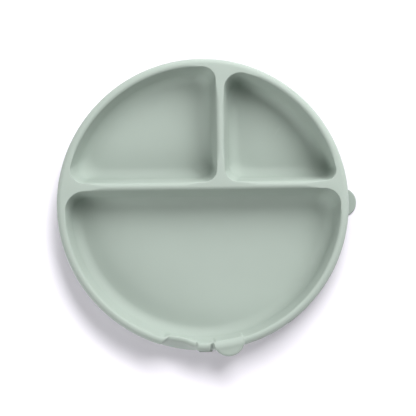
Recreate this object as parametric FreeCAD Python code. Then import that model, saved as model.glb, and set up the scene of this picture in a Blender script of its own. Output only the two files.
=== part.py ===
import FreeCAD, Part
import math
import os

# A divided silicone suction plate for a baby. Millimetres, +Z up.
# The origin is the centre of the plate on the table. +Y points from the big well to the two small ones,
# and +X to the release tab. Angles at the front are counted from the front centre line (-Y), + to the right.

# Rim and outer wall
RIM_R = 95.0
RIM_TOP_Z = 34.0
RIM_WIDTH = 5.0
RIM_OUTER_ROUND = 2.8
RIM_INNER_ROUND = 1.9
WALL_KNEE_R = 94.6
WALL_KNEE_Z = 17.0
WALL_KNEE_ROUND = 16.0
UNDERSIDE_R = 87.0
UNDERSIDE_Z = 7.0
UNDERSIDE_ROUND = 4.0

# Wells and dividers
FLOOR_Z = 10.0
FLOOR_ROUND = 6.0
WALL_INSET = 4.6
DIVIDER_WIDTH = 5.0
LONG_DIVIDER_Y = 12.2
SHORT_DIVIDER_X = 12.0
RIM_CORNER = 9.0
FLOOR_CORNER = 8.0

# Finger scoop in the rim, left of the front centre line
SCOOP_FROM_DEG = -15.6
SCOOP_TO_DEG = -3.2
SCOOP_WALL_R = 87.6
SCOOP_CREST_R = 90.2
SCOOP_CREST_DROP = 1.2
SCOOP_DEPTH = 9.0
SCOOP_FOOT_WIDTH = 1.5

# Groove between the plain stretch of rim and the pull tab
GROOVE_FROM_X = 4.7
GROOVE_WIDTH = 1.9
GROOVE_INNER_R = 90.8
GROOVE_DEPTH = 7.0

# Pull tab on the rim, right of the front centre line
PULL_TAB_DEG = 10.2
PULL_TAB_R = 9.9
PULL_TAB_CENTRE_R = 90.6
PULL_TAB_THICKNESS = 2.0
PULL_TAB_TOP_DROP = 0.8
PAD_INNER_R = 91.5

# Suction base bonded under the plate
BASE_R = 73.0
BASE_THICKNESS = 2.0
BASE_RING_WIDTH = 8.0
BASE_RING_Z = 4.2

# Flexible lip that meets the table, with a short wide lug at the front
LIP_ROOT_THICKNESS = 1.8
LIP_EDGE_R = 91.0
LIP_EDGE_THICKNESS = 1.4
LIP_CONTACT_WIDTH = 1.5
LUG_DEG = 0.7
LUG_WIDTH = 8.6
LUG_TIP_R = 96.8
LUG_CORNER = 1.5

# Release tab on the lip's edge
RELEASE_TAB_DEG = 0.7
RELEASE_TAB_WIDTH = 19.0
RELEASE_TAB_TIP_R = 102.6
RELEASE_TAB_THICKNESS = 1.8

# Clearance between a bending tab and the part that it is rooted in
ROOT_GAP = 0.1

# How far a cutting body runs past what it cuts, and how far an added one runs into what it joins
PAST = 1.0

# Two heights or radii closer than this are the same
SAME = 0.01

INNER_R = RIM_R - RIM_WIDTH
SCOOP_CREST_Z = RIM_TOP_Z - SCOOP_CREST_DROP


def point(x, y, z=0.0):
    return FreeCAD.Vector(x, y, z)


def turned(shape, degrees):
    """The shape turned about the plate's own axis."""
    copy = shape.copy()
    copy.rotate(point(0, 0), point(0, 0, 1), degrees)
    return copy


def raised(shape, z):
    shape.translate(point(0, 0, z))
    return shape


def revolved(corners, degrees=360.0):
    """A solid of revolution from (radius, height) corners."""
    points = [point(r, 0, z) for r, z in corners]
    face = Part.Face(Part.makePolygon(points + points[:1]))
    return face.revolve(point(0, 0), point(0, 0, 1), degrees)


def scoop_sector(corners):
    """A revolved section over the finger scoop's stretch of the rim."""
    return turned(revolved(corners, SCOOP_TO_DEG - SCOOP_FROM_DEG), SCOOP_FROM_DEG - 90.0)


def at_height(edge, z):
    return abs(edge.BoundBox.ZMin - z) < SAME and abs(edge.BoundBox.ZMax - z) < SAME


def is_circle(edge, radius):
    return isinstance(edge.Curve, Part.Circle) and abs(edge.Curve.Radius - radius) < SAME


def rounded(shape, size, radius, z):
    """The shape with its round edge of that radius and height filleted to the given size."""
    edges = [e for e in shape.Edges if is_circle(e, radius) and at_height(e, z)]
    return shape.makeFillet(size, edges)


def tray_blank():
    """The outside of the plate: flat underside, bowl-like lower wall, upright upper wall and rounded rim."""
    corners = [
        (0, UNDERSIDE_Z),
        (UNDERSIDE_R, UNDERSIDE_Z),
        (WALL_KNEE_R, WALL_KNEE_Z),
        (RIM_R, RIM_TOP_Z),
        (0, RIM_TOP_Z),
    ]
    blank = revolved(corners)
    blank = rounded(blank, RIM_OUTER_ROUND, RIM_R, RIM_TOP_Z)
    blank = rounded(blank, WALL_KNEE_ROUND, WALL_KNEE_R, WALL_KNEE_Z)
    return rounded(blank, UNDERSIDE_ROUND, UNDERSIDE_R, UNDERSIDE_Z)


def line(start, end):
    return Part.LineSegment(start, end).toShape()


def corner_arc(start, end, centre, radius):
    """The short arc from start to end round centre."""
    outward = (start + end) * 0.5 - centre
    return Part.Arc(start, centre + outward * (radius / outward.Length), end).toShape()


def wall_arc(start, end, radius, toward):
    """The arc of the plate's round wall from start to end, by way of the direction toward."""
    return Part.Arc(start, toward * (radius / toward.Length), end).toShape()


def on_wall(centre, radius):
    """Where a corner with that centre meets the round wall."""
    return centre * (radius / centre.Length)


def big_well_wire(inset, corner):
    """The big well's half-moon outline, moved in from its walls by inset, with corners of that radius."""
    radius = INNER_R - inset
    side_y = LONG_DIVIDER_Y - DIVIDER_WIDTH / 2 - inset
    centre_y = side_y - corner
    centre_x = math.sqrt((radius - corner) ** 2 - centre_y ** 2)
    left_centre = point(-centre_x, centre_y)
    right_centre = point(centre_x, centre_y)
    left_side = point(-centre_x, side_y)
    right_side = point(centre_x, side_y)
    left_wall = on_wall(left_centre, radius)
    right_wall = on_wall(right_centre, radius)
    return Part.Wire([
        line(left_side, right_side),
        corner_arc(right_side, right_wall, right_centre, corner),
        wall_arc(right_wall, left_wall, radius, point(0, -1)),
        corner_arc(left_wall, left_side, left_centre, corner),
    ])


def small_well_wire(inset, corner, side):
    """A small well's outline: side is -1 for the left well and 1 for the right one."""
    radius = INNER_R - inset
    low_y = LONG_DIVIDER_Y + DIVIDER_WIDTH / 2 + inset
    near_x = side * (side * SHORT_DIVIDER_X + DIVIDER_WIDTH / 2 + inset)
    inner_centre = point(near_x + side * corner, low_y + corner)
    far_x = math.sqrt((radius - corner) ** 2 - inner_centre.y ** 2)
    top_y = math.sqrt((radius - corner) ** 2 - inner_centre.x ** 2)
    far_centre = point(side * far_x, inner_centre.y)
    top_centre = point(inner_centre.x, top_y)
    far_low = point(far_centre.x, low_y)
    inner_low = point(inner_centre.x, low_y)
    inner_near = point(near_x, inner_centre.y)
    top_near = point(near_x, top_y)
    top_wall = on_wall(top_centre, radius)
    far_wall = on_wall(far_centre, radius)
    return Part.Wire([
        line(far_low, inner_low),
        corner_arc(inner_low, inner_near, inner_centre, corner),
        line(inner_near, top_near),
        corner_arc(top_near, top_wall, top_centre, corner),
        wall_arc(top_wall, far_wall, radius, top_wall + far_wall),
        corner_arc(far_wall, far_low, far_centre, corner),
    ])


def well_hollow(wire, *side):
    """The hollow of a well: drafted walls and a rounded edge round its floor."""
    floor = raised(wire(WALL_INSET, FLOOR_CORNER, *side), FLOOR_Z)
    top = raised(wire(0.0, RIM_CORNER, *side), RIM_TOP_Z)
    hollow = Part.makeLoft([floor, top], True, True)
    return hollow.makeFillet(FLOOR_ROUND, [e for e in hollow.Edges if at_height(e, FLOOR_Z)])


def scoop_wall():
    """The stretch of wall that stands further into the big well behind the finger scoop."""
    foot_r = INNER_R - WALL_INSET
    corners = [
        (foot_r, FLOOR_Z),
        (foot_r + SCOOP_FOOT_WIDTH, FLOOR_Z),
        (INNER_R + RIM_WIDTH / 2, SCOOP_CREST_Z),
        (SCOOP_WALL_R, SCOOP_CREST_Z),
    ]
    return scoop_sector(corners)


def scoop_cut():
    """What the finger scoop takes away: everything above its crest and its steep outer slope."""
    slope_z = SCOOP_CREST_Z - SCOOP_DEPTH
    inside_r = INNER_R - WALL_INSET
    corners = [
        (inside_r, SCOOP_CREST_Z),
        (SCOOP_CREST_R, SCOOP_CREST_Z),
        (RIM_R, slope_z),
        (RIM_R + PAST, slope_z),
        (RIM_R + PAST, RIM_TOP_Z + PAST),
        (inside_r, RIM_TOP_Z + PAST),
    ]
    return scoop_sector(corners)


def groove_cut():
    """The narrow slot that frees the left side of the pull tab."""
    length = RIM_R + PAST - GROOVE_INNER_R
    low = point(GROOVE_FROM_X, -RIM_R - PAST, RIM_TOP_Z - GROOVE_DEPTH)
    return Part.makeBox(GROOVE_WIDTH, length, GROOVE_DEPTH + PAST, low)


def tab_pad():
    """The part of the pull tab's disc that lies on the rim, as far out as the rim goes."""
    angle = math.radians(PULL_TAB_DEG)
    centre = point(math.sin(angle), -math.cos(angle)) * PULL_TAB_CENTRE_R
    disc = Part.makeCylinder(PULL_TAB_R, PULL_TAB_THICKNESS, centre)
    ring = Part.makeCylinder(RIM_R, PULL_TAB_THICKNESS).cut(Part.makeCylinder(PAD_INNER_R, PULL_TAB_THICKNESS))
    return raised(disc.common(ring), RIM_TOP_Z - PULL_TAB_TOP_DROP - PULL_TAB_THICKNESS)


def plate_body():
    """The plate moulding: rim, three wells, two dividers, the finger scoop, the groove and the tab's pad."""
    body = tray_blank()
    body = body.cut(well_hollow(big_well_wire))
    for side in (-1, 1):
        body = body.cut(well_hollow(small_well_wire, side))
    outer_r = RIM_R - RIM_OUTER_ROUND
    well_edges = [e for e in body.Edges if at_height(e, RIM_TOP_Z) and not is_circle(e, outer_r)]
    body = body.makeFillet(RIM_INNER_ROUND, well_edges)
    body = body.fuse(scoop_wall()).fuse(tab_pad())
    for cut in (scoop_cut(), groove_cut()):
        body = body.cut(cut)
    return body.removeSplitter()


def nose(width, thickness):
    """The half-round root that a tab bends about: its axis is the Y axis."""
    return Part.makeCylinder(thickness / 2, width, point(0, -width / 2), point(0, 1, 0))


def rim_pull_tab():
    """The part of the pull tab that stands beyond the rim: a segment of a disc with a round root."""
    half = PULL_TAB_THICKNESS / 2
    root_r = RIM_R + ROOT_GAP + half
    offset = root_r - PULL_TAB_CENTRE_R
    width = 2 * math.sqrt(PULL_TAB_R ** 2 - offset ** 2)
    disc = Part.makeCylinder(PULL_TAB_R, PULL_TAB_THICKNESS, point(-offset, 0, -half))
    beyond = Part.makeBox(PULL_TAB_R, width, PULL_TAB_THICKNESS, point(0, -width / 2, -half))
    tab = disc.common(beyond).fuse(nose(width, PULL_TAB_THICKNESS)).removeSplitter()
    tab.translate(point(root_r, 0, RIM_TOP_Z - PULL_TAB_TOP_DROP - half))
    return turned(tab, PULL_TAB_DEG - 90.0)


def suction_base():
    """The disc bonded under the plate, with the ring that carries the lip."""
    under_z = UNDERSIDE_Z - BASE_THICKNESS
    ring_r = BASE_R - BASE_RING_WIDTH
    corners = [
        (0, under_z),
        (ring_r, under_z),
        (ring_r, BASE_RING_Z),
        (BASE_R, BASE_RING_Z),
        (BASE_R, UNDERSIDE_Z),
        (0, UNDERSIDE_Z),
    ]
    return revolved(corners)


def tongue(width, length, thickness):
    """A flat tongue along +X from the Y axis, with a half-round end, standing on z = 0."""
    straight = length - width / 2
    body = Part.makeBox(straight, width, thickness, point(0, -width / 2))
    end = Part.makeCylinder(width / 2, thickness, point(0, 0), point(0, 0, 1), 180)
    end.rotate(point(0, 0), point(0, 0, 1), -90)
    end.translate(point(straight, 0))
    return body.fuse(end)


def front_lug():
    """The short wide lug on the lip's edge, with two rounded corners."""
    length = LUG_TIP_R - LIP_EDGE_R + PAST
    block = Part.makeBox(length, LUG_WIDTH, LIP_EDGE_THICKNESS, point(LIP_EDGE_R - PAST, -LUG_WIDTH / 2))
    corners = [e for e in block.Edges if e.BoundBox.XMin > LUG_TIP_R - SAME and e.BoundBox.ZLength > SAME]
    return turned(block.makeFillet(LUG_CORNER, corners), LUG_DEG - 90.0)


def suction_lip():
    """The flexible cone from the base's ring out to the edge on the table, with its front lug."""
    ring_r = BASE_R - BASE_RING_WIDTH
    root_z = BASE_RING_Z - LIP_ROOT_THICKNESS
    corners = [
        (ring_r, BASE_RING_Z),
        (BASE_R, BASE_RING_Z),
        (LIP_EDGE_R - LIP_EDGE_THICKNESS, LIP_EDGE_THICKNESS),
        (LIP_EDGE_R, LIP_EDGE_THICKNESS),
        (LIP_EDGE_R, 0),
        (LIP_EDGE_R - LIP_CONTACT_WIDTH, 0),
        (BASE_R, root_z),
        (ring_r, root_z),
    ]
    return revolved(corners).fuse(front_lug()).removeSplitter()


def release_tab():
    """The tongue on the lip's edge that a finger lifts to break the suction."""
    half = RELEASE_TAB_THICKNESS / 2
    root_r = LIP_EDGE_R + ROOT_GAP + half
    tab = tongue(RELEASE_TAB_WIDTH, RELEASE_TAB_TIP_R - root_r, RELEASE_TAB_THICKNESS)
    tab = tab.fuse(raised(nose(RELEASE_TAB_WIDTH, RELEASE_TAB_THICKNESS), half)).removeSplitter()
    tab.translate(point(root_r, 0))
    return turned(tab, RELEASE_TAB_DEG)


NODES = {
    "plate_body": plate_body,
    "rim_pull_tab": rim_pull_tab,
    "suction_base": suction_base,
    "suction_lip": suction_lip,
    "release_tab": release_tab,
}

os.makedirs("parts", exist_ok=True)
for name, make in NODES.items():
    solid = make()
    print(name, "valid" if solid.isValid() else "NOT VALID", round(solid.Volume), "mm3")
    solid.exportStep("parts/" + name + ".step")
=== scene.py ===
import math

import bmesh
import bpy
import numpy as np
from mathutils import Matrix, Quaternion, Vector
from mathutils.geometry import delaunay_2d_cdt


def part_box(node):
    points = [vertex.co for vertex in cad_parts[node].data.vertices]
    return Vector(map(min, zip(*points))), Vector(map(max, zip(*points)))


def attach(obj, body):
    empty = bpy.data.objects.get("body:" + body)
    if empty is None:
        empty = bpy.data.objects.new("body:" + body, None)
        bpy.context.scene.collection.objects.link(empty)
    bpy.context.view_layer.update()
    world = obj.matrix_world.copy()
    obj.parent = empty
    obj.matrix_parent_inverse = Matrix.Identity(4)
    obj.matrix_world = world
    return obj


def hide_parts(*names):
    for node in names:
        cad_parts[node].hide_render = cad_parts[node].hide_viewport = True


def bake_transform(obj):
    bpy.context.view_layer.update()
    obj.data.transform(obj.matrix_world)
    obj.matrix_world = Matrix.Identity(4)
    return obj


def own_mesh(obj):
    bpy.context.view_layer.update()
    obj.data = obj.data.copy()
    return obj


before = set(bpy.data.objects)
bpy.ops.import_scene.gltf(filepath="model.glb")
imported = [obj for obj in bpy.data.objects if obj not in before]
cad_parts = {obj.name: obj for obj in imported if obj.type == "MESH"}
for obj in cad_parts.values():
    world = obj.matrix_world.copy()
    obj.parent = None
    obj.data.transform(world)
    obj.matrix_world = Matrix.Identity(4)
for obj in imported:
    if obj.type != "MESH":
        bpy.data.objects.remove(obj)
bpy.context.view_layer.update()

# A round silicone plate with three wells on a suction base. The front is -Y, and the release tab is at +X.

# ---------------------------------------------------------------- sizes, in millimetres unless said
MM = 0.001

plate_low, plate_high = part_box("plate_body")
base_low, base_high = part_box("suction_base")
lip_low, lip_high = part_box("suction_lip")
release_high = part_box("release_tab")[1]

# rim
RIM_R = 95.0
TOP_Z = plate_high.z / MM
RIM_WIDTH = 5.0
INNER_R = RIM_R - RIM_WIDTH
OUTER_ROUND = 3.2
APEX_R = RIM_R - OUTER_ROUND

# wells: the draft run is how far a wall leans in between the rim's top and the floor
FLOOR_Z = 10.0
DRAFT_RUN = 4.6
DRAFT = math.atan(DRAFT_RUN / (TOP_Z - FLOOR_Z))
RIM_ROUND = 2.0
DIVIDER_ROUND = 2.6
FLOOR_ROUND = 8.2
DIVIDER_WIDTH = 4.5
LONG_DIVIDER_Y = 12.0
SHORT_DIVIDER_X = 11.85

# radii of the big well's left and right corners, and of each small well's far, inner and top ones
BIG_WELL_CORNERS = (12.5, 10.3)
LEFT_WELL_CORNERS = (9.5, 8.0, 9.0)
RIGHT_WELL_CORNERS = (6.8, 8.5, 11.0)
# how much a corner's radius shrinks for each millimetre down the well's side
CORNER_SHRINK = 0.15
# how much of the top round is closed up in a corner, and how far from the corner that fades out
CORNER_TIGHT = 0.8
CORNER_FADE = 15.0

# outside below the rim: the wall comes down to its knee and curves in from there to the underside
WALL_KNEE = (94.6, 18.0)
UNDERSIDE_Z = plate_low.z / MM
UNDERSIDE_R = 84.5
UNDER_CURVE = ((94.3, 11.5), (90.5, UNDERSIDE_Z))
UNDERSIDE_RINGS = (78.0, 60.0, 40.0, 20.0)

# finger scoop: its crest is pushed in and dropped, and its outer face slopes down to the foot
SCOOP_SLOPE = math.radians(66)
SCOOP_CREST_ROUND = 2.6
SCOOP_CREST_GROWTH = 0.5
SCOOP_INNER_ROUND = 1.5
SCOOP_DROP = 2.4
SCOOP_PUSH = 3.45
SCOOP_FOOT_Z = 22.4

# groove: its bed runs outward between two radii and falls as it goes
GROOVE_DROP = 0.8
GROOVE_STEP = 1.55
GROOVE_FALL = 5.1
GROOVE_FROM_R = 91.7
GROOVE_TO_R = 94.3

# where the scoop, groove and pull tab's seat lie, in degrees from the front centre line, + to the right:
# each rises between the first two angles and falls between the last two
SCOOP_WINDOW = (-17.5, -14.8, -3.8, -2.6)
GROOVE_WINDOW = (1.7, 2.9, 3.2, 4.0)
SEAT_WINDOW = (3.5, 4.5, 15.5, 16.3)
# how far the scoop's angles have moved by the time they reach the outer wall
SCOOP_SHIFT = (-0.9, -0.9, -0.6, -0.2)

# pull tab: PULL_DEG is from the front centre line, and PULL_CURVE gives the top's slope down, in degrees, at
# distances from the plate's axis
PULL_DEG = 9.9
PULL_R = 10.2
PULL_CENTRE_R = 89.9
PULL_BACK_R = 92.4
PULL_MIDDLE_R = 96.4
PULL_CORNER = 1.6
PULL_THICK = 1.9
PULL_TOP_EDGE = 1.4
PULL_LOW_EDGE = 0.4
PULL_CREST_R = 93.1
PULL_CURVE = ((93.0, 0.0), (94.5, 16.0), (96.6, 7.0), (101.0, 7.0))
PULL_BULGE = 0.65
# the tab starts just under the rim's surface and comes out just above it between these radii
SEAM = 0.012
SEAM_FROM_R = 93.8
SEAT_EDGE_R = 94.7

# suction parts: LUG_DEG is from the front centre line and RELEASE_DEG from +X
BASE_R = base_high.x / MM
BASE_RING_Z = base_low.z / MM
BASE_RING_R = BASE_R - 8.0
LIP_R = -lip_low.x / MM
LIP_TOP_Z = lip_high.z / MM
LUG_TIP_R = -lip_low.y / MM
LUG_DEG = 0.7
LUG_HALF = 4.3
LUG_CORNER = 0.8
LUG_ROOT = 0.8
RELEASE_DEG = 0.7
RELEASE_TIP_R = 102.6
RELEASE_HALF = 9.5
RELEASE_CORNER = 1.0
RELEASE_ROOT = 1.3
RELEASE_TOP_EDGE = 0.7
RELEASE_LOW_EDGE = 0.5
RELEASE_THICK = release_high.z / MM


# ---------------------------------------------------------------- small helpers
def smooth_step(x, low, high):
    """0 up to low, 1 from high on, and a smooth change between. low may be the larger of the two."""
    t = np.clip((np.asarray(x, float) - low) / (high - low), 0.0, 1.0)
    return t * t * (3.0 - 2.0 * t)


def window(x, rise_from, rise_to, fall_from, fall_to):
    """1 between rise_to and fall_from, 0 outside, with smooth ends."""
    return smooth_step(x, rise_from, rise_to) * (1.0 - smooth_step(x, fall_from, fall_to))


class MeshMaker:
    """Collects points and faces in millimetres, then makes one object in metres."""

    def __init__(self):
        self.points = []
        self.faces = []

    def loop(self, points):
        """Adds a row of points and gives their indices."""
        first = len(self.points)
        self.points.extend(tuple(map(float, p)) for p in points)
        return list(range(first, first + len(points)))

    def bridge(self, a, b):
        """Quads between two closed loops of the same length."""
        n = len(a)
        for i in range(n):
            j = (i + 1) % n
            self.faces.append((a[i], a[j], b[j], b[i]))

    def bridge_all(self, loops):
        """Quads between each loop and the next."""
        for a, b in zip(loops, loops[1:]):
            self.bridge(a, b)

    def fan(self, loop, centre):
        """Triangles from a closed loop to one new point."""
        hub = self.loop([centre])[0]
        n = len(loop)
        for i in range(n):
            self.faces.append((loop[i], loop[(i + 1) % n], hub))

    def make(self, name):
        mesh = bpy.data.meshes.new(name)
        mesh.from_pydata([(x * MM, y * MM, z * MM) for x, y, z in self.points], [], self.faces)
        mesh.validate()
        made = bpy.data.objects.new(name, mesh)
        bpy.context.scene.collection.objects.link(made)
        outward_normals(mesh)
        mesh.shade_smooth()
        return made


def outward_normals(mesh):
    bm = bmesh.new()
    bm.from_mesh(mesh)
    bmesh.ops.recalc_face_normals(bm, faces=bm.faces)
    bm.to_mesh(mesh)
    bm.free()
    mesh.update()


# ---------------------------------------------------------------- angles round the plate
DENSE_DEG = 19.0
DENSE_STEP_DEG = 0.125
COARSE_STEPS = 322


def front_angles():
    """Closely spaced angles across the front of the rim, where the scoop, groove and tab are."""
    return np.radians(np.arange(-DENSE_DEG, DENSE_DEG + 0.01, DENSE_STEP_DEG) - 90.0)


def ring_angles():
    """Angles for one whole turn, from the front window round and back to it."""
    dense = front_angles()
    coarse = np.linspace(dense[-1], dense[0] + 2 * math.pi, COARSE_STEPS)[1:-1]
    return np.concatenate([dense, coarse])


def front_deg(angles):
    """Angle from the front centre line in degrees, + to the right, from -180 to 180."""
    deg = np.degrees(angles) + 90.0
    return (deg + 180.0) % 360.0 - 180.0


def ring_points(angles, radius, height):
    """Points round the plate's axis. The radius and the height are one number, or one for each angle."""
    heights = np.broadcast_to(np.asarray(height, float), angles.shape)
    return np.column_stack([radius * np.cos(angles), radius * np.sin(angles), heights])


# ---------------------------------------------------------------- well outlines
LINE_STEPS = 60
CORNER_STEPS = 16
ARC_STEPS = 60


def spread(start, end, count):
    """count points from start up to, but not at, end."""
    t = np.arange(count)[:, None] / count
    return np.asarray(start) * (1 - t) + np.asarray(end) * t


def arc_points(centre, radius, start, end, count):
    """count points of an arc by the short way from start to end, up to, but not at, its end."""
    centre = np.asarray(centre, float)
    a = math.atan2(*(np.asarray(start) - centre)[::-1])
    b = math.atan2(*(np.asarray(end) - centre)[::-1])
    turn = (b - a + math.pi) % (2 * math.pi) - math.pi
    t = a + turn * np.arange(count) / count
    return centre + radius * np.column_stack([np.cos(t), np.sin(t)])


def handover(start, end):
    """How much each point of a corner follows the divider (1) or the rim (0), from start to end."""
    t = smooth_step(np.arange(CORNER_STEPS) / CORNER_STEPS, 0, 1)
    return start + (end - start) * t


def corner_mask(runs):
    """Marks the corner that follows each run of points."""
    return np.concatenate([np.repeat((False, True), (run, CORNER_STEPS)) for run in runs])


def shrink(corner, inset):
    """A corner's radius on an outline at some inset."""
    return corner - (1 if inset < 0 else CORNER_SHRINK) * inset


def big_well(line_inset, arc_inset):
    """The big well's outline: its points, how much each follows a divider, and which are on a corner."""
    radius = INNER_R - arc_inset
    side_y = LONG_DIVIDER_Y - DIVIDER_WIDTH / 2 - line_inset
    centres, on_side, on_wall = [], [], []
    for side, corner in zip((-1, 1), BIG_WELL_CORNERS):
        c = shrink(corner, line_inset)
        y = side_y - c
        x = side * math.sqrt((radius - c) ** 2 - y ** 2)
        centres.append((x, y, c))
        on_side.append((x, side_y))
        on_wall.append((x * radius / (radius - c), y * radius / (radius - c)))
    (lx, ly, lc), (rx, ry, rc) = centres
    dense = front_angles()
    right_end = math.atan2(on_wall[1][1], on_wall[1][0])
    left_end = math.atan2(on_wall[0][1], on_wall[0][0]) % (2 * math.pi) - 2 * math.pi
    right = np.linspace(right_end, dense[-1], ARC_STEPS + 1)[:-1]
    left = np.linspace(dense[0], left_end, ARC_STEPS + 1)[:-1]
    wall = np.concatenate([right, dense[:0:-1], left])
    points = np.vstack([
        spread(on_side[0], on_side[1], LINE_STEPS * 2),
        arc_points((rx, ry), rc, on_side[1], on_wall[1], CORNER_STEPS),
        radius * np.column_stack([np.cos(wall), np.sin(wall)]),
        arc_points((lx, ly), lc, on_wall[0], on_side[0], CORNER_STEPS),
    ])
    follows = np.concatenate([
        np.ones(LINE_STEPS * 2),
        handover(1, 0),
        np.zeros(len(wall)),
        handover(0, 1),
    ])
    return points, follows, corner_mask((LINE_STEPS * 2, len(wall)))


def small_well(line_inset, arc_inset, side, corners):
    """Outline of a small well, as for the big one: side is -1 for the left well and 1 for the right one."""
    radius = INNER_R - arc_inset
    far, inner, top = (shrink(c, line_inset) for c in corners)
    low_y = LONG_DIVIDER_Y + DIVIDER_WIDTH / 2 + line_inset
    near = side * SHORT_DIVIDER_X + DIVIDER_WIDTH / 2 + line_inset
    far_x = math.sqrt((radius - far) ** 2 - (low_y + far) ** 2)
    top_y = math.sqrt((radius - top) ** 2 - (near + top) ** 2)
    far_c = np.array((far_x, low_y + far))
    inner_c = np.array((near + inner, low_y + inner))
    top_c = np.array((near + top, top_y))
    far_low = (far_x, low_y)
    inner_low = (near + inner, low_y)
    inner_up = (near, low_y + inner)
    top_near = (near, top_y)
    top_wall = top_c * radius / (radius - top)
    far_wall = far_c * radius / (radius - far)
    points = np.vstack([
        spread(far_low, inner_low, LINE_STEPS),
        arc_points(inner_c, inner, inner_low, inner_up, CORNER_STEPS),
        spread(inner_up, top_near, LINE_STEPS),
        arc_points(top_c, top, top_near, top_wall, CORNER_STEPS),
        arc_points((0, 0), radius, top_wall, far_wall, ARC_STEPS * 2),
        arc_points(far_c, far, far_wall, far_low, CORNER_STEPS),
    ])
    follows = np.concatenate([
        np.ones(LINE_STEPS * 2 + CORNER_STEPS),
        handover(1, 0),
        np.zeros(ARC_STEPS * 2),
        handover(0, 1),
    ])
    points[:, 0] *= side
    return points, follows, corner_mask((LINE_STEPS, LINE_STEPS, ARC_STEPS * 2))


def left_well(line_inset, arc_inset):
    return small_well(line_inset, arc_inset, -1, LEFT_WELL_CORNERS)


def right_well(line_inset, arc_inset):
    return small_well(line_inset, arc_inset, 1, RIGHT_WELL_CORNERS)


# ---------------------------------------------------------------- section of a well, from land edge to floor
# each round turns the section by this much, between level and the leaning wall
TURN = math.pi / 2 - DRAFT
ROUND_TURNS = np.linspace(0, TURN, 9)
FILLET_TURNS = np.linspace(0, TURN, 12)
WALL_SHARES = (0.12, 0.3, 0.5, 0.7, 0.88)


def top_round(size, turn):
    """(outward offset, height) on the round between the land and the wall."""
    reach = size * math.tan(TURN / 2)
    return reach - size * math.sin(turn), TOP_Z - size * (1 - math.cos(turn))


def wall_offset(z):
    """How far outward the leaning wall is at a height, from where it would meet the land."""
    return -(TOP_Z - z) * math.tan(DRAFT)


def floor_round(turn):
    """(outward offset, height) on the round between the wall and the floor. turn is 0 at the wall."""
    reach = FLOOR_ROUND * math.tan(TURN / 2)
    end = wall_offset(FLOOR_Z) - reach
    back = TURN - turn
    return end + FLOOR_ROUND * math.sin(back), FLOOR_Z + FLOOR_ROUND * (1 - math.cos(back))


def section(size):
    """The whole section of a well's side as (outward offset, height), for a top round of that size."""
    rows = [top_round(size, t) for t in ROUND_TURNS]
    top_z = rows[-1][1]
    foot_z = floor_round(0)[1]
    for s in WALL_SHARES:
        z = top_z + (foot_z - top_z) * s
        rows.append((wall_offset(z), z))
    rows.extend(floor_round(t) for t in FILLET_TURNS)
    return np.array(rows)


RIM_SECTION = section(RIM_ROUND)
DIVIDER_SECTION = section(DIVIDER_ROUND)
# how many rows are on the top round, and on that round and the wall together
N_ROUND = len(ROUND_TURNS)
N_WALL = N_ROUND + len(WALL_SHARES)

# ---------------------------------------------------------------- section of the outside, apex to underside
OUT_TURNS = np.linspace(0, math.pi / 2, 11)
OUT_WALL_Z = (29.2, 27.5, 25.8, 24.6, 23.6, 22.6, 20.5)


def curve(a, b, c, d, count):
    """count points on a cubic curve from a to d, drawn towards b and c on the way."""
    t = np.linspace(0, 1, count)[:, None]
    a, b, c, d = (np.array(p) for p in (a, b, c, d))
    return a * (1 - t) ** 3 + 3 * b * t * (1 - t) ** 2 + 3 * c * t * t * (1 - t) + d * t ** 3


def outer_section():
    """Rows of (radius, height): the rim's outer round, the wall, and the curve under it."""
    rows = [(APEX_R + OUTER_ROUND * math.sin(t), TOP_Z - OUTER_ROUND * (1 - math.cos(t))) for t in OUT_TURNS]
    start_z = rows[-1][1]
    for z in OUT_WALL_Z:
        t = (start_z - z) / (start_z - WALL_KNEE[1])
        rows.append((RIM_R + (WALL_KNEE[0] - RIM_R) * t, z))
    rows.extend(curve(WALL_KNEE, *UNDER_CURVE, (UNDERSIDE_R, UNDERSIDE_Z), 15))
    return np.array(rows)


OUTER_SECTION = outer_section()
# how many rows are on the rim's outer round
N_OUT = len(OUT_TURNS)


# ---------------------------------------------------------------- other sections: the scoop, groove and seat
def scoop_push(deg):
    """How far the scoop's crest stands in from the rim's. It eases off towards both ends."""
    left = 0.86 + 0.14 * smooth_step(deg, -16.0, -12.0)
    right = 1 - 0.6 * smooth_step(deg, -9.8, -3.0)
    return SCOOP_PUSH * left * right


def scoop_share(deg, out):
    """How much of the scoop there is at an angle. out runs from 0 at the crest to 1 at the outer wall."""
    return window(deg, *(angle + shift * out for angle, shift in zip(SCOOP_WINDOW, SCOOP_SHIFT)))


def groove_share(deg):
    return window(deg, *GROOVE_WINDOW)


def seat_share(deg):
    return window(deg, *SEAT_WINDOW)


def scoop_inner(deg):
    """The inner side at one angle: a thin round crest on a wall that leans into the well."""
    apex = APEX_R - 0.1 - scoop_push(deg)
    low = TOP_Z - SCOOP_DROP - SCOOP_INNER_ROUND
    rows = [
        (apex - SCOOP_INNER_ROUND * math.sin(t), low + SCOOP_INNER_ROUND * math.cos(t))
        for t in ROUND_TURNS
    ]
    start = np.array(rows[-1])
    foot = np.array((INNER_R + RIM_SECTION[N_WALL][0], RIM_SECTION[N_WALL][1]))
    rows.extend(start + (foot - start) * s for s in WALL_SHARES)
    rows.extend((INNER_R + o, z) for o, z in RIM_SECTION[N_WALL:])
    return np.array(rows)


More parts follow.
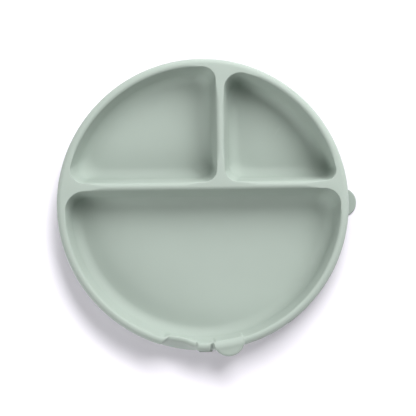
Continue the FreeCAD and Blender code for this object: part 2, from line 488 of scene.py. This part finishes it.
def scoop_outer(deg):
    """The outer side at one angle: round the thin crest, then down a steep slope to the outer wall."""
    apex = APEX_R - scoop_push(deg)
    crest = SCOOP_CREST_ROUND + SCOOP_CREST_GROWTH * float(smooth_step(deg, -9.0, -4.0))
    low = TOP_Z - SCOOP_DROP - crest
    turns = OUT_TURNS / OUT_TURNS[-1] * SCOOP_SLOPE
    rows = [(apex + crest * math.sin(t), low + crest * math.cos(t)) for t in turns]
    start = np.array(rows[-1])
    end = np.array((RIM_R - 0.15, SCOOP_FOOT_Z + 0.35))
    for s in (0.25, 0.5, 0.75, 1.0):
        rows.append(start + (end - start) * s)
    # one more row rounds the foot, and the outer wall goes on from there
    rows.append((RIM_R - 0.02, SCOOP_FOOT_Z - 0.3))
    rows.extend(OUTER_SECTION[len(rows):])
    return np.array(rows)


def groove_inner():
    """The groove cuts the crest: its bed starts at the inner wall and falls outward from there."""
    rows = RIM_SECTION + np.array((INNER_R, 0.0))
    high = TOP_Z - GROOVE_DROP
    start = (rows[0, 0], high - 1.5)
    rows[:N_ROUND] = curve(start, (90.2, high - 0.1), (89.3, high + 0.1), (89.1, high - 2.0), N_ROUND)
    return rows


def groove_outer():
    """The groove's bed: it falls outward from the crest and comes out through the outer wall."""
    rows = OUTER_SECTION.copy()
    s = np.arange(N_OUT) / (N_OUT - 1)
    rows[:N_OUT, 0] = GROOVE_FROM_R + (GROOVE_TO_R - GROOVE_FROM_R) * s
    rows[:N_OUT, 1] = TOP_Z - GROOVE_DROP - GROOVE_STEP - GROOVE_FALL * s ** 1.1
    # three rows turn the bed's end down into the wall
    rows[N_OUT:N_OUT + 3, 0] = (94.55, 94.8, 94.92)
    rows[N_OUT:N_OUT + 3, 1] = (26.0, 25.5, 25.0)
    return rows


def seat_height(r):
    """The top of the pull tab against distance from the plate's axis: level at its crest, then drooping."""
    radii = np.linspace(PULL_CURVE[0][0], PULL_CURVE[-1][0], 200)
    slope = np.tan(np.radians(np.interp(radii, *zip(*PULL_CURVE))))
    step = radii[1] - radii[0]
    drop = np.concatenate([(0,), np.cumsum((slope[1:] + slope[:-1]) / 2 * step)])
    return TOP_Z - np.interp(r, radii, drop)


def seat_inner():
    """The rim's inner round where the pull tab starts: wider, so that it reaches out to the tab's crest."""
    rows = RIM_SECTION + np.array((INNER_R, 0.0))
    t = np.linspace(1, 0, N_ROUND)
    start = RIM_SECTION[0][0] + INNER_R
    rows[:N_ROUND, 0] += (PULL_CREST_R - 0.1 - start) * t - PULL_BULGE * (1 - t)
    rows[N_ROUND:N_WALL, 0] -= PULL_BULGE * (1 - np.array(WALL_SHARES))
    return rows


def seat_outer():
    """The bed under the pull tab, then a small round edge and the outer wall."""
    rows = OUTER_SECTION.copy()
    s = np.arange(N_OUT) / (N_OUT - 1)
    rows[:N_OUT, 0] = PULL_CREST_R + (SEAT_EDGE_R - PULL_CREST_R) * s
    rows[:N_OUT, 1] = seat_height(rows[:N_OUT, 0])
    edge_z = rows[N_OUT - 1, 1]
    rows[N_OUT:N_OUT + 2, 0] = (94.93, RIM_R)
    rows[N_OUT:N_OUT + 2, 1] = (edge_z - 0.15, edge_z - 0.9)
    return rows


def rim_rows(deg, normal, scoop, groove, seat, spread_out):
    """Section rows at each angle: the plain rim, or its scoop, groove or seat, with smooth changes."""
    rows = np.repeat(normal[None], len(deg), axis=0)
    for i, d in enumerate(deg):
        s, g, t = scoop_share(d, spread_out), float(groove_share(d)), float(seat_share(d))
        if s.max() > 0:
            rows[i] += s[:, None] * (scoop(d) - normal)
        if g > 0:
            rows[i] += g * (groove - normal)
        if t > 0:
            rows[i] += t * (seat - normal)
    return rows


# ---------------------------------------------------------------- the plate
def well_loops(maker, outline, rim_features):
    """Adds a well's rings, from its land edge to the middle of its floor.

    outline is one of the well functions, and rim_features says whether the scoop, groove and seat are on it.
    Gives the land edge twice: as indices, and as flat points with no scoop, groove or seat.
    """
    rings = []
    base_points, follows, on_corner = outline(0.0, 0.0)
    away = np.linalg.norm(base_points[:, None] - base_points[None, on_corner], axis=2).min(axis=1)
    tight = CORNER_TIGHT * (1 - smooth_step(away, 0, CORNER_FADE))
    deg = front_deg(np.arctan2(base_points[:, 1], base_points[:, 0]))
    in_front = (follows == 0) & (np.abs(deg) < DENSE_DEG + 0.01) & rim_features
    if rim_features:
        normal = RIM_SECTION + np.array((INNER_R, 0.0))
        level = np.zeros(len(normal))
        front = rim_rows(deg[in_front], normal, scoop_inner, groove_inner(), seat_inner(), level)
    wall_top = outline(-DIVIDER_SECTION[N_ROUND - 1][0], -RIM_SECTION[N_ROUND - 1][0])[0]
    for k in range(len(RIM_SECTION)):
        points = outline(-DIVIDER_SECTION[k][0], -RIM_SECTION[k][0])[0]
        z = follows * DIVIDER_SECTION[k][1] + (1 - follows) * RIM_SECTION[k][1]
        if k < N_ROUND:
            points = points + tight[:, None] * (wall_top - points)
            z = z + tight * (TOP_Z - z)
        ring = np.column_stack([points, z])
        if rim_features:
            angle = np.arctan2(ring[in_front, 1], ring[in_front, 0])
            ring[in_front, 0] = front[:, k, 0] * np.cos(angle)
            ring[in_front, 1] = front[:, k, 0] * np.sin(angle)
            ring[in_front, 2] = front[:, k, 1]
        rings.append(ring)
    floor = rings[-1]
    middle = floor.mean(axis=0)
    for s in (0.93, 0.8, 0.6, 0.4, 0.2):
        rings.append(middle + (floor - middle) * s)
    loops = [maker.loop(r) for r in rings]
    maker.bridge_all(loops)
    maker.fan(loops[-1], middle)
    flat = outline(-DIVIDER_SECTION[0][0], -RIM_SECTION[0][0])[0]
    return loops[0], flat + tight[:, None] * (wall_top - flat)


def outer_loops(maker):
    """Adds the outside, from the rim's apex down to the middle of the underside.

    Gives the apex ring twice, as well_loops does with the land edge.
    """
    angles = ring_angles()
    out = np.clip(np.arange(len(OUTER_SECTION)) / (N_OUT + 2), 0, 1)
    rows = rim_rows(front_deg(angles), OUTER_SECTION, scoop_outer, groove_outer(), seat_outer(), out)
    loops = []
    for k in range(rows.shape[1]):
        loops.append(maker.loop(ring_points(angles, rows[:, k, 0], rows[:, k, 1])))
    for r in UNDERSIDE_RINGS:
        loops.append(maker.loop(ring_points(angles, r, UNDERSIDE_Z)))
    maker.bridge_all(loops)
    maker.fan(loops[-1], (0, 0, UNDERSIDE_Z))
    return loops[0], APEX_R * np.column_stack([np.cos(angles), np.sin(angles)])


def fill_land(maker, outer, holes):
    """Fills the flat land between the rim's apex ring and the wells' land edges."""
    points, ids, edges, hole_of = [], [], [], []
    for number, (indices, flat) in enumerate([outer, *holes]):
        first = len(points)
        points.extend(Vector(p) for p in flat)
        ids.extend(indices)
        hole_of.extend([number] * len(indices))
        n = len(indices)
        edges.extend((first + i, first + (i + 1) % n) for i in range(n))
    _, _, faces, sources, *_ = delaunay_2d_cdt(points, edges, [], 1, 1e-7)
    origin = [source[0] for source in sources]
    for face in faces:
        corners = [origin[v] for v in face]
        owners = {hole_of[c] for c in corners}
        inside_a_well = len(owners) == 1 and owners != {0}
        if not inside_a_well:
            maker.faces.append(tuple(ids[c] for c in corners))


def build_plate():
    maker = MeshMaker()
    outer = outer_loops(maker)
    holes = [
        well_loops(maker, big_well, True),
        well_loops(maker, left_well, False),
        well_loops(maker, right_well, False),
    ]
    fill_land(maker, outer, holes)
    return maker.make("plate_moulding")


# ---------------------------------------------------------------- tabs, as slabs with rounded edges
def slab(outline, middle, thickness, top_edge, low_edge, rings):
    """A closed slab on z = 0. outline is a convex loop of (x, y) points with no sharp corner."""
    maker = MeshMaker()
    ahead = np.roll(outline, -1, axis=0) - np.roll(outline, 1, axis=0)
    normal = np.column_stack([ahead[:, 1], -ahead[:, 0]])
    normal /= np.linalg.norm(normal, axis=1)[:, None]
    loops = []
    turns = np.linspace(math.pi / 2, 0, 7)
    shares = np.linspace(0.06, 0.97, rings)

    def add(ring, z):
        loops.append(maker.loop(np.column_stack([ring, np.full(len(ring), z)])))

    low_inner = outline - normal * low_edge
    top_inner = outline - normal * top_edge
    for s in shares:
        add(middle + (low_inner - middle) * s, 0.0)
    for t in turns:
        add(low_inner + normal * low_edge * math.cos(t), low_edge - low_edge * math.sin(t))
    for t in turns[::-1]:
        add(top_inner + normal * top_edge * math.cos(t), thickness - top_edge + top_edge * math.sin(t))
    for s in shares[::-1]:
        add(middle + (top_inner - middle) * s, thickness)
    maker.bridge_all(loops)
    maker.fan(loops[0], (middle[0], middle[1], 0.0))
    maker.fan(loops[-1], (middle[0], middle[1], thickness))
    return maker


def tab_outline(start, centre, radius, half, corner, arc_steps, corner_steps, side_steps):
    """Outline of a tab along +x: a straight back at x = start, rounded corners, sides and a round tip.

    half is the tab's half width at its back. Where it is None, the tip's own circle runs round to the back.
    """
    corner_x = start + corner
    if half is None:
        corner_y = math.sqrt((radius - corner) ** 2 - (corner_x - centre) ** 2)
        turn = math.atan2(corner_y, corner_x - centre)
    else:
        corner_y = half - corner
        turn = math.pi / 2
    tip = np.linspace(-turn, turn, arc_steps)
    rows = [np.column_stack([centre + radius * np.cos(tip), radius * np.sin(tip)])]
    bend = np.linspace(turn, math.pi, corner_steps)
    high_corner = np.column_stack([corner_x + corner * np.cos(bend), corner_y + corner * np.sin(bend)])
    if half is None:
        high_corner = high_corner[1:]
    else:
        rows.append(spread(rows[0][-1], high_corner[0], side_steps)[1:])
    rows.append(high_corner)
    low_corner = high_corner[::-1] * (1, -1)
    rows.append(spread(high_corner[-1], low_corner[0], side_steps)[1:])
    rows.append(low_corner)
    if half is not None:
        rows.append(spread(low_corner[-1], rows[0][0], side_steps)[1:])
    return np.vstack(rows)


def turn_points(points, degrees):
    """The same points, turned about the plate's axis."""
    a = math.radians(degrees)
    c, s = math.cos(a), math.sin(a)
    return [(x * c - y * s, x * s + y * c, z) for x, y, z in points]


def build_pull_tab():
    """The pull tab: a disc whose inner part sinks into the rim's bed and whose outer part stands free."""
    outline = tab_outline(
        PULL_BACK_R, PULL_CENTRE_R, PULL_R, None, PULL_CORNER,
        arc_steps=90, corner_steps=8, side_steps=24,
    )
    middle = np.array((PULL_MIDDLE_R, 0.0))
    maker = slab(outline, middle, PULL_THICK, PULL_TOP_EDGE, PULL_LOW_EDGE, rings=22)
    placed = []
    for x, y, z in maker.points:
        r = math.hypot(x, y)
        above = -SEAM + 2 * SEAM * float(smooth_step(r, SEAM_FROM_R, SEAT_EDGE_R))
        placed.append((x, y, float(seat_height(r)) + above - PULL_THICK + z))
    maker.points = turn_points(placed, PULL_DEG - 90.0)
    return maker.make("pull_tab")


def build_release_tab():
    """The tongue on the lip's edge."""
    inner = LIP_R - RELEASE_ROOT
    centre = RELEASE_TIP_R - RELEASE_HALF
    outline = tab_outline(
        inner, centre, RELEASE_HALF, RELEASE_HALF, RELEASE_CORNER,
        arc_steps=60, corner_steps=7, side_steps=20,
    )
    middle = np.array(((inner + RELEASE_TIP_R) / 2, 0.0))
    maker = slab(outline, middle, RELEASE_THICK, RELEASE_TOP_EDGE, RELEASE_LOW_EDGE, rings=18)
    maker.points = turn_points(maker.points, RELEASE_DEG)
    return maker.make("release_tongue")


# ---------------------------------------------------------------- the lip and the base
def round_corner(centre, radius, from_deg, to_deg, steps):
    """Points of (radius, height) round the corner of a section."""
    t = np.radians(np.linspace(from_deg, to_deg, steps))
    return [(centre[0] + radius * math.cos(a), centre[1] + radius * math.sin(a)) for a in t]


def lug_reach(r, deg):
    """A radius on the lip's edge, longer at the front lug: a short wide block with two rounded corners."""
    x = np.abs(np.radians(deg - LUG_DEG) * LIP_R)
    past = np.clip(x - (LUG_HALF - LUG_CORNER), 0, LUG_CORNER)
    tip = LUG_TIP_R - LUG_CORNER + np.sqrt(LUG_CORNER ** 2 - past ** 2)
    root = smooth_step(x, LUG_HALF + 1.0, LUG_HALF)
    return np.where(x < LUG_HALF, r + (tip - LIP_R), r + root * LUG_ROOT)


def build_lip():
    """The flexible cone, with a rounded edge on the table and the lug at the front."""
    upper = [
        (BASE_RING_R, LIP_TOP_Z),
        (BASE_R - 1.0, LIP_TOP_Z),
        (BASE_R + 1.5, LIP_TOP_Z - 0.25),
        (80.0, 3.1),
        (85.0, 2.15),
        (LIP_R - 1.6, 1.45),
    ]
    edge_r = 0.7
    edge = round_corner((LIP_R - edge_r, edge_r), edge_r, 90, -90, 9)
    lower = [
        (LIP_R - 1.5, 0.0),
        (LIP_R - 2.3, 0.12),
        (85.0, 0.75),
        (80.0, 1.4),
        (BASE_R, 2.35),
        (BASE_RING_R, 2.4),
    ]
    maker = MeshMaker()
    angles = ring_angles()
    deg = front_deg(angles)
    loops = [maker.loop(ring_points(angles, r, z)) for r, z in upper]
    loops += [maker.loop(ring_points(angles, lug_reach(r, deg), z)) for r, z in edge]
    loops += [maker.loop(ring_points(angles, r, z)) for r, z in lower]
    maker.bridge_all(loops + loops[:1])
    return maker.make("lip_cone")


def build_base():
    """The disc under the plate, with rounded edges and a shallow round dimple in its middle."""
    maker = MeshMaker()
    angles = ring_angles()
    under = BASE_RING_Z + 0.8
    edge_r = 0.5
    rows = [
        (BASE_R, UNDERSIDE_Z),
        (BASE_R, BASE_RING_Z + edge_r),
        *round_corner((BASE_R - edge_r, BASE_RING_Z + edge_r), edge_r, 0, -90, 5)[1:],
        (BASE_RING_R + 0.5, BASE_RING_Z),
        (BASE_RING_R, BASE_RING_Z + 0.3),
        (BASE_RING_R - 0.6, under),
        (50.0, under),
        (35.0, under),
        (20.0, under),
        (8.0, under),
        (5.6, under + 0.05),
        (5.0, under + 0.5),
        (3.0, under + 0.6),
    ]
    loops = [maker.loop(ring_points(angles, r, z)) for r, z in rows]
    maker.bridge_all(loops)
    maker.fan(loops[-1], (0, 0, under + 0.6))
    maker.fan(loops[0], (0, 0, UNDERSIDE_Z))
    return maker.make("base_disc")


# ---------------------------------------------------------------- materials
def node(tree, kind, **settings):
    """A new node. A setting with the name of an input sets that input, and any other sets a property."""
    made = tree.nodes.new(kind)
    for key, value in settings.items():
        if key in made.inputs:
            made.inputs[key].default_value = value
        else:
            setattr(made, key, value)
    return made


def silicone(name, colour, roughness):
    """Matte moulded silicone: a soft sheen, a faint mottle, a fine moulded grain and a paler colour on
    sharply convex edges.
    """
    mat = bpy.data.materials.new(name)
    mat.use_nodes = True
    tree = mat.node_tree
    tree.nodes.clear()
    link = tree.links.new
    out = node(tree, "ShaderNodeOutputMaterial")
    skin = node(tree, "ShaderNodeBsdfPrincipled")
    skin.inputs["Specular IOR Level"].default_value = 0.22
    skin.inputs["Subsurface Weight"].default_value = 0.12
    skin.inputs["Subsurface Radius"].default_value = (1.0, 1.0, 0.9)
    skin.inputs["Subsurface Scale"].default_value = 0.0025
    skin.inputs["Sheen Weight"].default_value = 0.02
    skin.inputs["Sheen Roughness"].default_value = 0.5
    link(skin.outputs[0], out.inputs[0])
    place = node(tree, "ShaderNodeTexCoord")

    mottle = node(tree, "ShaderNodeTexNoise", Scale=38.0, Detail=3.0, Roughness=0.55)
    link(place.outputs["Object"], mottle.inputs["Vector"])
    tint = node(tree, "ShaderNodeMapRange")
    tint.inputs["To Min"].default_value = 0.985
    tint.inputs["To Max"].default_value = 1.015
    link(mottle.outputs[0], tint.inputs["Value"])

    # the colour turns paler on sharply convex edges
    shape = node(tree, "ShaderNodeNewGeometry")
    edge = node(tree, "ShaderNodeMapRange")
    edge.inputs["From Min"].default_value = 0.5
    edge.inputs["From Max"].default_value = 0.62
    edge.inputs["To Min"].default_value = 0.0
    edge.inputs["To Max"].default_value = 0.10
    link(shape.outputs["Pointiness"], edge.inputs["Value"])

    base = node(tree, "ShaderNodeVectorMath", operation="SCALE")
    base.inputs[0].default_value = colour
    link(tint.outputs[0], base.inputs["Scale"])
    paler_edges = node(tree, "ShaderNodeMix", data_type="RGBA")
    link(edge.outputs[0], paler_edges.inputs["Factor"])
    link(base.outputs[0], paler_edges.inputs["A"])
    paler_edges.inputs["B"].default_value = (*[c + (1 - c) * 0.35 for c in colour], 1.0)
    link(paler_edges.outputs["Result"], skin.inputs["Base Color"])

    smear = node(tree, "ShaderNodeTexNoise", Scale=120.0, Detail=4.0, Roughness=0.6)
    link(place.outputs["Object"], smear.inputs["Vector"])
    rough = node(tree, "ShaderNodeMapRange")
    rough.inputs["To Min"].default_value = roughness - 0.05
    rough.inputs["To Max"].default_value = roughness + 0.05
    link(smear.outputs[0], rough.inputs["Value"])
    link(rough.outputs[0], skin.inputs["Roughness"])

    grain = node(tree, "ShaderNodeTexNoise", Scale=2600.0, Detail=2.0, Roughness=0.5)
    link(place.outputs["Object"], grain.inputs["Vector"])
    bump = node(tree, "ShaderNodeBump", Strength=0.12, Distance=0.00005)
    link(grain.outputs[0], bump.inputs["Height"])
    link(bump.outputs[0], skin.inputs["Normal"])
    return mat


def floor_material():
    """Plain pale matte floor."""
    mat = bpy.data.materials.new("studio_floor")
    mat.use_nodes = True
    skin = mat.node_tree.nodes["Principled BSDF"]
    skin.inputs["Base Color"].default_value = (0.945, 0.915, 0.98, 1.0)
    skin.inputs["Roughness"].default_value = 0.9
    skin.inputs["Specular IOR Level"].default_value = 0.1
    return mat


SAGE = (0.363, 0.42, 0.379)
# the base, lip and release tongue take a darker copy of the sage: painted shade, since these low parts lie
# in the plate's shadow; the real silicone is one colour throughout
BASE_PAINTED_SHADE = 0.9
plate_skin = silicone("sage_silicone", SAGE, 0.56)
base_painted_shade_skin = silicone("sage_silicone_base_painted_shade", [c * BASE_PAINTED_SHADE for c in SAGE], 0.5)


plate = build_plate()
plate.data.materials.append(plate_skin)
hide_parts("plate_body")
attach(plate, "plate")

base = build_base()
base.data.materials.append(base_painted_shade_skin)
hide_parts("suction_base")
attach(base, "plate")

lip = build_lip()
lip.data.materials.append(base_painted_shade_skin)
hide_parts("suction_lip")
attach(lip, "lip")
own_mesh(lip)

pull_tab = build_pull_tab()
pull_tab.data.materials.append(plate_skin)
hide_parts("rim_pull_tab")
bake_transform(pull_tab)

release = build_release_tab()
release.data.materials.append(base_painted_shade_skin)
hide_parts("release_tab")
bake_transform(release)


# ---------------------------------------------------------------- floor, light and camera, in metres
LIGHT_DISTANCE = 1.6

# the camera leans off the vertical towards CAMERA_SIDE, and the picture's width is at the rim's height
CAMERA_DISTANCE = 1.5
CAMERA_LEAN = math.radians(2.4)
CAMERA_SIDE = math.radians(225)
PICTURE_WIDTH = 0.27
# how far right of and above the picture's middle the plate stands, and how far it is turned in it
PLATE_RIGHT = -0.00312
PLATE_UP = 0.00236
PLATE_ROLL = math.radians(0.83)


def add_floor():
    """A wide plain floor just under the table plane."""
    mesh = bpy.data.meshes.new("floor")
    size = 3.0
    low = -0.00005
    corners = [(-size, -size, low), (size, -size, low), (size, size, low), (-size, size, low)]
    mesh.from_pydata(corners, [], [(0, 1, 2, 3)])
    floor = bpy.data.objects.new("floor", mesh)
    floor.data.materials.append(floor_material())
    bpy.context.scene.collection.objects.link(floor)
    return floor


def add_softbox(name, azimuth, elevation, width, height, power, on=None, turn=0):
    """A soft light that points at the plate. Azimuth is clockwise from +Y, as on a compass.

    Where on is given, only those objects receive its light. turn spins the box about its own axis.
    """
    data = bpy.data.lights.new(name, "AREA")
    data.shape = "RECTANGLE"
    data.size = width
    data.size_y = height
    data.energy = power
    lamp = bpy.data.objects.new(name, data)
    a, e = math.radians(azimuth), math.radians(elevation)
    towards = Vector((math.sin(a) * math.cos(e), math.cos(a) * math.cos(e), math.sin(e)))
    lamp.location = towards * LIGHT_DISTANCE
    lamp.rotation_mode = "QUATERNION"
    spin = Quaternion((0.0, 0.0, 1.0), math.radians(turn))
    lamp.rotation_quaternion = (-lamp.location).to_track_quat("-Z", "Y") @ spin
    bpy.context.scene.collection.objects.link(lamp)
    if on is not None:
        group = bpy.data.collections.new(name + "_receivers")
        for item in on:
            group.objects.link(item)
        lamp.light_linking.receiver_collection = group


def set_dark_world():
    """No light comes from the surroundings."""
    world = bpy.data.worlds.new("studio")
    world.use_nodes = True
    world.node_tree.nodes["Background"].inputs["Strength"].default_value = 0.0
    bpy.context.scene.world = world


def add_camera():
    """Looks down on the plate with a long lens, from a little towards the front left."""
    lean = Vector((math.cos(CAMERA_SIDE), math.sin(CAMERA_SIDE), 0)) * math.sin(CAMERA_LEAN)
    back = (lean + Vector((0, 0, math.cos(CAMERA_LEAN)))).normalized()
    up_hint = Vector((math.sin(PLATE_ROLL), math.cos(PLATE_ROLL), 0))
    right = up_hint.cross(back).normalized()
    up = back.cross(right).normalized()
    target = Vector((0, 0, TOP_Z * MM)) - right * PLATE_RIGHT - up * PLATE_UP
    data = bpy.data.cameras.new("camera")
    data.sensor_width = 36.0
    data.lens = data.sensor_width * CAMERA_DISTANCE / PICTURE_WIDTH
    data.clip_start = 0.05
    data.clip_end = 20.0
    camera = bpy.data.objects.new("camera", data)
    turn = Matrix((right, up, back)).transposed().to_4x4()
    camera.matrix_world = Matrix.Translation(target + back * CAMERA_DISTANCE) @ turn
    bpy.context.scene.collection.objects.link(camera)
    bpy.context.scene.camera = camera


pieces = [plate, base, lip, pull_tab, release]
floor = add_floor()
add_softbox("key", azimuth=35, elevation=47, width=1.7, height=1.0, power=36, on=pieces)
add_softbox("fill", azimuth=225, elevation=38, width=1.2, height=0.8, power=16.5)
add_softbox("low_back", azimuth=5, elevation=16, width=1.0, height=0.4, power=8, on=pieces)
add_softbox("low_right", azimuth=60, elevation=20, width=1.0, height=0.5, power=6, on=pieces)
add_softbox("low_left", azimuth=330, elevation=13, width=0.9, height=0.4, power=4, on=pieces)
add_softbox("floor_key", azimuth=18, elevation=61, width=0.95, height=0.6, power=30, on=[floor], turn=-46)
add_softbox("floor_fill", azimuth=225, elevation=45, width=1.2, height=0.8, power=1, on=[floor])
set_dark_world()
add_camera()
bpy.context.scene.view_settings.view_transform = "Standard"
